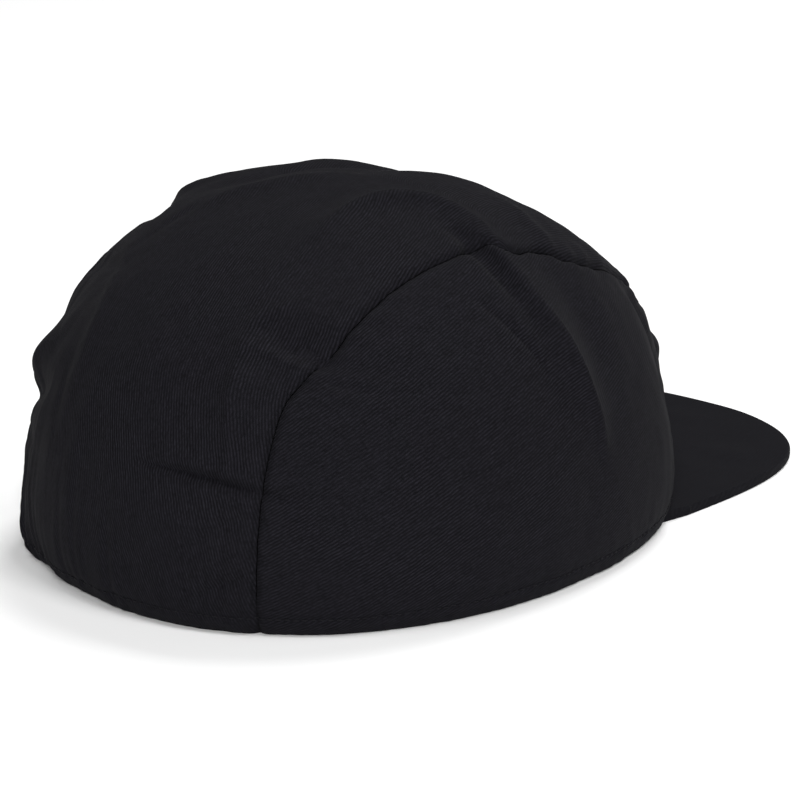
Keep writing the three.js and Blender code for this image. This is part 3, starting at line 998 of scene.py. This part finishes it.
@dataclass
class Peak:
    """A stiff board covered in twill, flat in front of the brow, in millimetres."""

    form: CrownForm = field(default_factory=CrownForm)
    length: float = 62.0
    half_width: float = 77.6
    corner: float = 70.3
    squareness: float = 2.43
    thick: float = 3.0
    tuck: float = 2.2
    columns: int = 200
    rows: int = 44
    edge_rows: int = 18
    seam_draw: float = 0.3
    seam_width: float = 0.25
    pucker: float = 0.2
    pucker_reach: float = 9.0
    pucker_folds: float = 6.0
    pucker_phase: float = 0.6
    pucker_start: tuple[float, float] = (1.0, 4.0)
    wrinkle: float = 0.1
    wrinkle_length: tuple[float, float, float] = (30.0, 22.0, 9.0)
    top_side: tuple[float, float] = (1.8, 3.0)
    end_share: float = 0.02
    column_pull: float = 0.6
    row_power: float = 0.8

    def outline(self, s: Array) -> Array:
        """The outer edge: a superellipse drawn in to the corners, for s from 0 to pi.

        Args:
            s: angles along the edge, from 0 at the wearer's right corner to pi at the left one.

        Returns:
            A point for each s, in front of the rim's middle.
        """
        corner_y = -self.form.rim_y(np.array(self.corner))
        reach = self.form.rim_length / 2 + self.length + corner_y
        wide = -self.half_width * np.sign(np.cos(s)) * np.abs(np.cos(s)) ** (2 / self.squareness)
        inwards = 1 - np.sin(s)
        x = wide * (1 - inwards) + np.sign(wide) * self.corner * inwards
        y = corner_y - reach * np.sin(s) ** (2 / self.squareness)
        return np.stack([x, y], -1)

    def root(self, s: Array) -> Array:
        """The inner edge, which is tucked against the crown.

        Args:
            s: angles, as for the outer edge.

        Returns:
            A point for each s.
        """
        x = -self.corner * np.cos(s)
        at_rim = np.stack([x, -self.form.rim_y(x)], -1)
        heading = unit(at_rim)
        rise = self.thick / self.form.height
        towards = np.concatenate([heading * math.sqrt(1 - rise**2), np.full((len(s), 1), rise)], -1)
        cloth = self.form.smooth(towards)[:, :2] - [0, self.form.head_centre_y]
        return heading * (np.linalg.norm(cloth, axis=-1, keepdims=True) - self.tuck)

    def build(self) -> bpy.types.Object:
        """The covered peak, as one closed sleeve of sections.

        Returns:
            The piece.
        """
        spaced = clustered(self.columns, self.column_pull)
        s = np.pi * (self.end_share + (1 - 2 * self.end_share) * spaced)
        root, edge = self.root(s), self.outline(s)
        away = edge - root
        length = np.linalg.norm(away, axis=-1, keepdims=True)
        away = away / length
        radius = np.minimum(self.thick / 2, length / 2)
        share = np.linspace(0, 1, self.rows + 1)[:-1] ** self.row_power
        bend = np.linspace(0, np.pi, self.edge_rows + 1)
        top = [(root + away * (length - radius) * f, self.thick + 0 * s, 0.0) for f in share]
        turned = [
            (
                root + away * (length - radius + radius * math.sin(b) - self.edge_seam(b)),
                self.thick / 2 * (1 + math.cos(b)) + 0 * s,
                b - math.sin(b),
            )
            for b in bend
        ]
        under = [(root + away * (length - radius) * f, 0 * s, 0.0) for f in share[::-1]]
        section = top + turned + under
        points = np.stack([np.concatenate([p, z[:, None]], -1) for p, z, _ in section], 1)
        points = points + [0, self.form.head_centre_y, 0]
        points[..., 2] += self.surface(points) * ease(points[..., 2], *self.top_side)
        beyond = np.stack([away * radius * extra for _, _, extra in section], 1)
        columns, around = points.shape[:2]
        faces = grid_faces(columns, around).tolist()
        index = np.arange(columns * around).reshape(columns, around)
        faces += np.stack([index[:-1, -1], index[1:, -1], index[1:, 0], index[:-1, 0]], -1).tolist()
        faces += [index[0].tolist(), index[-1, ::-1].tolist()]
        flat = points.reshape(-1, 3)
        faces = facing_out(flat, faces)
        place = points[..., :2] + beyond
        above = np.stack([-place[..., 1], place[..., 0]], -1).reshape(-1, 2)
        below = np.stack([-points[..., 1], -points[..., 0]], -1).reshape(-1, 2)
        first_under = len(top) + len(turned) - 1
        uvs = []
        for face in faces:
            low = min(v % around for v in face) >= first_under
            uvs.append((below if low else above)[face])
        piece = make_mesh("peak_cover", flat, faces, np.concatenate(uvs), by_corner=True)
        for end in piece.data.polygons[-2:]:
            end.use_smooth = False
        return piece

    def edge_seam(self, bend: float) -> float:
        """How far the covers' seam draws the edge in, at an angle round it."""
        return self.seam_draw * math.exp(-(((bend - math.pi / 2) / self.seam_width) ** 2))

    def surface(self, points: Array) -> Array:
        """Small heights of the top cover: faint slack, and puckers at the two sewn corners.

        Args:
            points: the sections' points.

        Returns:
            A height for each point.
        """
        x, y = points[..., 0], points[..., 1]
        total = self.wrinkle * Ripples(Seed.PEAK_SLACK, self.wrinkle_length).at(points)
        corner_y = self.form.head_centre_y - float(self.form.rim_y(np.array(self.corner)))
        for hand in Hand:
            dx, dy = x - hand.value * self.corner, y - corner_y
            distance = np.hypot(dx, dy)
            fan = np.cos(self.pucker_folds * np.arctan2(dy, -hand.value * dx) + self.pucker_phase)
            fan *= np.exp(-((distance / self.pucker_reach) ** 2))
            total += self.pucker * fan * ease(distance, *self.pucker_start)
        return total


@dataclass
class StitchRow:
    """A row of stitches along a closed line, made by a tree of geometry nodes.

    Sizes are millimetres, and wobble is degrees.
    """

    material: bpy.types.Material
    pitch: float = 2.3
    length: float = 1.75
    thick: float = 0.38
    wobble: float = 6.0
    seed: int = 7
    segments: int = 6
    rings: int = 5

    def add(self, tree: bpy.types.NodeTree, kind: str, **values: object) -> bpy.types.Node:
        """A node of the tree, with its choices set.

        Args:
            tree: the tree.
            kind: the node's type.
            values: the node's properties.

        Returns:
            The node.
        """
        node = tree.nodes.new(kind)
        for name, value in values.items():
            setattr(node, name, value)
        return node

    def tree(self) -> bpy.types.NodeTree:
        """The tree: a curve through the line, a stitch at each step, laid along it.

        Returns:
            The tree, with named inputs for the sizes and the seed.
        """
        tree = bpy.data.node_groups.new("StitchRow", "GeometryNodeTree")
        sockets = tree.interface
        sockets.new_socket("Geometry", in_out="OUTPUT", socket_type="NodeSocketGeometry")
        sockets.new_socket("Geometry", in_out="INPUT", socket_type="NodeSocketGeometry")
        for name in ("Pitch", "Length", "Thickness", "Wobble"):
            sockets.new_socket(name, in_out="INPUT", socket_type="NodeSocketFloat")
        sockets.new_socket("Seed", in_out="INPUT", socket_type="NodeSocketInt")
        link = tree.links.new
        given = self.add(tree, "NodeGroupInput").outputs
        curve = self.add(tree, "GeometryNodeMeshToCurve")
        steps = self.add(tree, "GeometryNodeResampleCurve", mode="LENGTH")
        link(given["Geometry"], curve.inputs["Mesh"])
        link(curve.outputs["Curve"], steps.inputs["Curve"])
        link(given["Pitch"], steps.inputs["Length"])
        shape = self.add(tree, "GeometryNodeMeshUVSphere")
        shape.inputs["Segments"].default_value = self.segments
        shape.inputs["Rings"].default_value = self.rings
        shape.inputs["Radius"].default_value = 0.5
        size = self.add(tree, "ShaderNodeCombineXYZ")
        for axis, name in zip("XYZ", ("Length", "Thickness", "Thickness")):
            link(given[name], size.inputs[axis])
        sized = self.add(tree, "GeometryNodeTransform")
        link(shape.outputs["Mesh"], sized.inputs["Geometry"])
        link(size.outputs[0], sized.inputs["Scale"])
        smooth = self.add(tree, "GeometryNodeSetShadeSmooth")
        link(sized.outputs[0], smooth.inputs["Geometry"])
        tangent = self.add(tree, "GeometryNodeInputTangent")
        along = self.add(tree, "FunctionNodeAlignRotationToVector", axis="X")
        link(tangent.outputs[0], along.inputs["Vector"])
        least = self.add(tree, "ShaderNodeVectorMath", operation="SCALE")
        least.inputs[0].default_value = (-1, -1, -1)
        most = self.add(tree, "ShaderNodeVectorMath", operation="SCALE")
        most.inputs[0].default_value = (1, 1, 1)
        chance = self.add(tree, "FunctionNodeRandomValue", data_type="FLOAT_VECTOR")
        for node, side in ((least, "Min"), (most, "Max")):
            link(given["Wobble"], node.inputs["Scale"])
            link(node.outputs[0], chance.inputs[side])
        link(given["Seed"], chance.inputs["Seed"])
        spin = self.add(tree, "FunctionNodeEulerToRotation")
        link(chance.outputs[0], spin.inputs[0])
        turned = self.add(tree, "FunctionNodeRotateRotation", rotation_space="LOCAL")
        link(along.outputs[0], turned.inputs[0])
        link(spin.outputs[0], turned.inputs[1])
        laid = self.add(tree, "GeometryNodeInstanceOnPoints")
        link(steps.outputs["Curve"], laid.inputs["Points"])
        link(smooth.outputs[0], laid.inputs["Instance"])
        link(turned.outputs[0], laid.inputs["Rotation"])
        real = self.add(tree, "GeometryNodeRealizeInstances")
        link(laid.outputs[0], real.inputs[0])
        finish = self.add(tree, "GeometryNodeSetMaterial")
        finish.inputs["Material"].default_value = self.material
        link(real.outputs[0], finish.inputs["Geometry"])
        link(finish.outputs[0], self.add(tree, "NodeGroupOutput").inputs["Geometry"])
        return tree

    def build(self, name: str, line: Array) -> bpy.types.Object:
        """The stitches along a closed line, as a plain mesh.

        Args:
            name: the piece's name.
            line: the line's points, in order round it, in millimetres.

        Returns:
            The piece.
        """
        guide = bpy.data.meshes.new(name + "_line")
        count = len(line)
        edges = [(i, (i + 1) % count) for i in range(count)]
        guide.from_pydata((line * MM).tolist(), edges, [])
        row = bpy.data.objects.new(name + "_line", guide)
        bpy.context.scene.collection.objects.link(row)
        tree = self.tree()
        change = row.modifiers.new("stitches", "NODES")
        change.node_group = tree
        values = {
            "Pitch": self.pitch * MM,
            "Length": self.length * MM,
            "Thickness": self.thick * MM,
            "Wobble": math.radians(self.wobble),
            "Seed": self.seed,
        }
        for socket in tree.interface.items_tree:
            if socket.in_out == "INPUT" and socket.name in values:
                change[socket.identifier] = values[socket.name]
        seen = row.evaluated_get(bpy.context.evaluated_depsgraph_get())
        mesh = bpy.data.meshes.new_from_object(seen)
        mesh.name = name
        bpy.data.objects.remove(row)
        piece = bpy.data.objects.new(name, mesh)
        bpy.context.scene.collection.objects.link(piece)
        return piece


def round_the_rim(paths: list[Array], centre_y: float, outwards: float) -> Array:
    """Joins lines on the panels into one closed line round the rim.

    Args:
        paths: the lines, in any order.
        centre_y: the middle of the rim.
        outwards: how far to move the line away from the middle.

    Returns:
        The line's points, by their bearing.
    """
    points = np.concatenate(paths)
    flat = points[:, :2] - [0, centre_y]
    order = np.argsort(np.arctan2(flat[:, 0], flat[:, 1]))
    points, flat = points[order], flat[order]
    points[:, :2] += unit(flat) * outwards
    return points


@dataclass(frozen=True)
class Thread:
    """Black sewing thread, plain and a little shinier than the cloth."""

    colour: tuple[float, float, float] = (0.0065, 0.0063, 0.008)
    roughness: float = 0.6
    specular: float = 0.1

    def material(self) -> bpy.types.Material:
        """The finish as a material.

        Returns:
            The material.
        """
        material = bpy.data.materials.new("thread")
        material.use_nodes = True
        shader = material.node_tree.nodes["Principled BSDF"]
        shader.inputs["Base Color"].default_value = (*self.colour, 1)
        shader.inputs["Roughness"].default_value = self.roughness
        shader.inputs["Specular IOR Level"].default_value = self.specular
        return material


@dataclass(frozen=True)
class Twill:
    """Black cotton twill: its colours, weave and sheen."""

    slot: str
    dark: tuple[float, float, float] = (0.0026, 0.0025, 0.0032)
    light: tuple[float, float, float] = (0.0200, 0.0190, 0.0250)
    line_pitch: float = 0.00082
    line_angle: float = 15.0
    yarn_pitch: float = 0.00025
    relief: float = 0.00009
    roughness: float = 0.9
    specular: float = 0.05
    sheen: float = 0.008
    sheen_roughness: float = 0.5

    def material(self, weave: bpy.types.NodeTree) -> bpy.types.Material:
        """The finish as a material.

        Args:
            weave: the shared weave group.

        Returns:
            The material.
        """
        material = bpy.data.materials.new(self.slot)
        material.use_nodes = True
        nodes, links = material.node_tree.nodes, material.node_tree.links
        shader = nodes["Principled BSDF"]
        place = nodes.new("ShaderNodeUVMap")
        place.uv_map = "cloth"
        group = nodes.new("ShaderNodeGroup")
        group.node_tree = weave
        group.inputs["Line Pitch"].default_value = self.line_pitch
        group.inputs["Line Angle"].default_value = math.radians(self.line_angle)
        group.inputs["Yarn Pitch"].default_value = self.yarn_pitch
        links.new(place.outputs["UV"], group.inputs["Place"])
        colour = nodes.new("ShaderNodeMix")
        colour.data_type = "RGBA"
        colour.inputs["A"].default_value = (*self.dark, 1)
        colour.inputs["B"].default_value = (*self.light, 1)
        links.new(group.outputs["Tone"], colour.inputs["Factor"])
        links.new(colour.outputs["Result"], shader.inputs["Base Color"])
        bump = nodes.new("ShaderNodeBump")
        bump.inputs["Strength"].default_value = 1.0
        bump.inputs["Distance"].default_value = self.relief
        links.new(group.outputs["Height"], bump.inputs["Height"])
        links.new(bump.outputs["Normal"], shader.inputs["Normal"])
        shader.inputs["Roughness"].default_value = self.roughness
        shader.inputs["Specular IOR Level"].default_value = self.specular
        shader.inputs["Sheen Weight"].default_value = self.sheen
        shader.inputs["Sheen Roughness"].default_value = self.sheen_roughness
        return material


class WeaveGroup:
    """The shader group that draws a twill from places in the cloth."""

    WANDER = 0.0006
    WANDER_SCALE = 260
    WEAR_SCALE = 30
    WEAR_GAIN = 1.4
    WEAR_BASE = -0.1
    WEAR_LEAST = 0.35
    WEAR_MOST = 0.95
    YARN_SWING = 0.16
    SLUB_SCALE = (90, 1500, 1)
    SLUB_HEIGHT = 0.5
    FLOAT_SCALE = (900, 1600, 1)
    FLOAT_GAIN = 1.8
    FLOAT_BASE = -0.75
    MOTTLE_SCALE = 300
    MOTTLE_HEIGHT = 0.25
    MOTTLE_GAIN = 0.2
    MOTTLE_BASE = -0.05
    ROPE_POWER = 1.4

    def __init__(self) -> None:
        """Makes the group and its sockets."""
        self.tree = bpy.data.node_groups.new("TwillWeave", "ShaderNodeTree")
        sockets = self.tree.interface
        sockets.new_socket("Place", in_out="INPUT", socket_type="NodeSocketVector")
        for name, value in (("Line Pitch", 0.0007), ("Line Angle", 0.47), ("Yarn Pitch", 0.0002)):
            sockets.new_socket(name, in_out="INPUT", socket_type="NodeSocketFloat").default_value = value
        for name in ("Height", "Tone"):
            sockets.new_socket(name, in_out="OUTPUT", socket_type="NodeSocketFloat")
        self.inputs = self.tree.nodes.new("NodeGroupInput")
        self.outputs = self.tree.nodes.new("NodeGroupOutput")
        self.draw()

    def maths(self, operation: str, *values: object) -> bpy.types.NodeSocket:
        """A Math node fed by sockets or numbers, and its result.

        Args:
            operation: what the node does.
            values: its inputs, in order.

        Returns:
            The result's socket.
        """
        node = self.tree.nodes.new("ShaderNodeMath")
        node.operation = operation
        for socket, value in zip(node.inputs, values):
            if isinstance(value, (int, float)):
                socket.default_value = value
            else:
                self.tree.links.new(value, socket)
        return node.outputs[0]

    def noise(self, place: bpy.types.NodeSocket, scale: float, detail: float) -> bpy.types.NodeSocket:
        """A noise of a size, read at a place.

        Args:
            place: where to read it.
            scale: the noise's scale.
            detail: its detail.

        Returns:
            The value's socket.
        """
        node = self.tree.nodes.new("ShaderNodeTexNoise")
        node.inputs["Scale"].default_value = scale
        node.inputs["Detail"].default_value = detail
        self.tree.links.new(place, node.inputs["Vector"])
        return node.outputs["Fac"]

    def stretched(
        self, place: bpy.types.NodeSocket, scale: tuple[float, float, float]
    ) -> bpy.types.NodeSocket:
        """A place with its axes scaled.

        Args:
            place: the place's socket.
            scale: a factor for each axis.

        Returns:
            The new place's socket.
        """
        node = self.tree.nodes.new("ShaderNodeVectorMath")
        node.operation = "MULTIPLY"
        node.inputs[1].default_value = scale
        self.tree.links.new(place, node.inputs[0])
        return node.outputs[0]

    def draw(self) -> None:
        """Diagonal lines of floats, the yarns in them, and slubs along the warp."""
        place = self.inputs.outputs["Place"]
        split = self.tree.nodes.new("ShaderNodeSeparateXYZ")
        self.tree.links.new(place, split.inputs[0])
        u, v = split.outputs["X"], split.outputs["Y"]
        angle = self.inputs.outputs["Line Angle"]
        wander = self.maths("MULTIPLY", self.noise(place, self.WANDER_SCALE, 2), self.WANDER)
        over = self.maths("MULTIPLY", u, self.maths("SINE", angle))
        down = self.maths("MULTIPLY", v, self.maths("COSINE", angle))
        across = self.maths("ADD", self.maths("SUBTRACT", over, down), wander)
        turns = self.maths("DIVIDE", across, self.inputs.outputs["Line Pitch"])
        line = self.maths("SINE", self.maths("MULTIPLY", turns, 2 * math.pi))
        patches = self.noise(place, self.WEAR_SCALE, 2)
        worn = self.maths("MULTIPLY_ADD", patches, self.WEAR_GAIN, self.WEAR_BASE)
        worn = self.maths("MAXIMUM", worn, self.WEAR_LEAST)
        worn = self.maths("MULTIPLY", self.maths("MINIMUM", worn, self.WEAR_MOST), 0.5)
        line = self.maths("MULTIPLY_ADD", line, worn, 0.5)
        yarn = self.maths("DIVIDE", v, self.inputs.outputs["Yarn Pitch"])
        yarn = self.maths("SINE", self.maths("MULTIPLY", yarn, 2 * math.pi))
        yarn = self.maths("MULTIPLY_ADD", yarn, self.YARN_SWING, 1 - self.YARN_SWING)
        weave = self.maths("MULTIPLY", line, yarn)
        slubs = self.noise(self.stretched(place, self.SLUB_SCALE), 1.0, 3)
        floats = self.noise(self.stretched(place, self.FLOAT_SCALE), 1.0, 2)
        mottle = self.noise(place, self.MOTTLE_SCALE, 3)
        height = self.maths("ADD", weave, self.maths("MULTIPLY", slubs, self.SLUB_HEIGHT))
        height = self.maths("ADD", height, self.maths("MULTIPLY", mottle, self.MOTTLE_HEIGHT))
        self.tree.links.new(height, self.outputs.inputs["Height"])
        ropes = self.maths("POWER", weave, self.ROPE_POWER)
        shine = self.maths("MULTIPLY_ADD", floats, self.FLOAT_GAIN, self.FLOAT_BASE)
        tone = self.maths("MULTIPLY", ropes, self.maths("ADD", slubs, shine))
        specks = self.maths("MULTIPLY_ADD", mottle, self.MOTTLE_GAIN, self.MOTTLE_BASE)
        tone = self.maths("ADD", tone, specks)
        node = self.maths("MINIMUM", self.maths("MAXIMUM", tone, 0.0), 1.0)
        self.tree.links.new(node, self.outputs.inputs["Tone"])


@dataclass(frozen=True)
class Lamp:
    """A square soft light, placed in metres."""

    name: str
    place: tuple[float, float, float]
    size: float
    power: float

    def hang(self, aim: Vector) -> None:
        """Makes the light.

        Args:
            aim: where it points, in metres.
        """
        data = bpy.data.lights.new(self.name, "AREA")
        data.size, data.energy = self.size, self.power
        lamp = bpy.data.objects.new(self.name, data)
        lamp.location = self.place
        lamp.rotation_euler = (aim - Vector(self.place)).to_track_quat("-Z", "Y").to_euler()
        bpy.context.scene.collection.objects.link(lamp)


# A strong fill from the camera's side, and weaker lights above, in front and behind
LAMPS = (
    Lamp("front top", (0.3, -1.45, 2.5), 1.0, 46),
    Lamp("top right", (-1.5, 0.35, 2.35), 1.0, 28),
    Lamp("high back", (0.1, 0.8, 2.8), 1.0, 16),
    Lamp("fill", (-1.8, 2.3, 1.5), 1.0, 74),
    Lamp("edge", (-1.5, -1.5, 0.6), 0.7, 3),
)


@dataclass(frozen=True)
class Studio:
    """The camera at the photograph's angle, in millimetres, a pale floor and soft light."""

    eye: tuple[float, float, float] = (-547.5, 692.4, 286.2)
    aim: tuple[float, float, float] = (-9.0, 22.5, 37.0)
    lens: float = 140.2
    sensor: float = 36.0
    clip: tuple[float, float] = (0.01, 100.0)
    floor_size: float = 12.0
    floor_tone: float = 0.95
    floor_roughness: float = 0.9
    sky: float = 0.08
    light_aim: tuple[float, float, float] = (0.0, 0.0, 50.0)

    def camera(self) -> None:
        """Makes the camera, and sets the standard view transform."""
        bpy.context.scene.view_settings.view_transform = "Standard"
        data = bpy.data.cameras.new("camera")
        data.lens, data.sensor_width = self.lens, self.sensor
        data.clip_start, data.clip_end = self.clip
        eye, aim = Vector(self.eye) * MM, Vector(self.aim) * MM
        camera = bpy.data.objects.new("camera", data)
        camera.location = eye
        camera.rotation_euler = (aim - eye).to_track_quat("-Z", "Y").to_euler()
        bpy.context.scene.collection.objects.link(camera)
        bpy.context.scene.camera = camera

    def floor(self) -> None:
        """A plain pale floor under the rim."""
        half = self.floor_size / 2 / MM
        corners = np.array([[-half, -half, 0], [half, -half, 0], [half, half, 0], [-half, half, 0]])
        floor = make_mesh("floor", corners, [[0, 1, 2, 3]])
        material = bpy.data.materials.new("floor")
        material.use_nodes = True
        shader = material.node_tree.nodes["Principled BSDF"]
        shader.inputs["Base Color"].default_value = (self.floor_tone,) * 3 + (1,)
        shader.inputs["Roughness"].default_value = self.floor_roughness
        floor.data.materials.append(material)

    def lights(self) -> None:
        """Faint even surroundings, and the lamps."""
        world = bpy.data.worlds.new("studio")
        world.use_nodes = True
        background = world.node_tree.nodes["Background"]
        background.inputs["Color"].default_value = (1, 1, 1, 1)
        background.inputs["Strength"].default_value = self.sky
        bpy.context.scene.world = world
        for lamp in LAMPS:
            lamp.hang(Vector(self.light_aim) * MM)


def dress(piece: bpy.types.Object, material: bpy.types.Material, node: str | None) -> None:
    """Gives a piece its finish and puts it in its node's place.

    Args:
        piece: the piece.
        material: its finish.
        node: the solid that the piece stands for, or None for one sewn onto another piece.
    """
    piece.data.materials.clear()
    piece.data.materials.append(material)
    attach(piece, "root")
    if node:
        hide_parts(node)
    log.info("%s: %d faces", piece.name, len(piece.data.polygons))


def main() -> None:
    """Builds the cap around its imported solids."""
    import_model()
    studio = Studio()
    studio.camera()
    studio.floor()
    studio.lights()
    weave = WeaveGroup().tree
    cloth = Twill("cloth").material(weave)
    # The peak is covered in the crown's twill. Its darker, flatter weave colours here are painted shade on
    # the peak.
    shaded_peak_twill = Twill(
        "peak_cloth", dark=(0.0046, 0.0045, 0.0058), light=(0.0114, 0.0108, 0.0141), relief=0.00004
    )
    peak_cloth = shaded_peak_twill.material(weave)
    thread = Thread().material()
    crown = Crown()
    panels = {"centre_strip": crown.strip()}
    for hand in Hand:
        panels[f"side_panel_{hand.name.lower()}"] = crown.side(hand)
    allowances = [crown.allowance(hand) for hand in Hand]
    for node, piece in panels.items():
        dress(piece, cloth, node)
    for piece in allowances:
        dress(piece, cloth, None)
    for key, outwards in (("outer", STITCH_OUT), ("inner", -STITCH_OUT)):
        line = round_the_rim(crown.row_paths[key], crown.form.head_centre_y, outwards)
        dress(StitchRow(thread).build(f"hem_stitches_{key}", line), thread, None)
    dress(Peak().build(), peak_cloth, "peak")


if __name__ == "__main__":
    main()
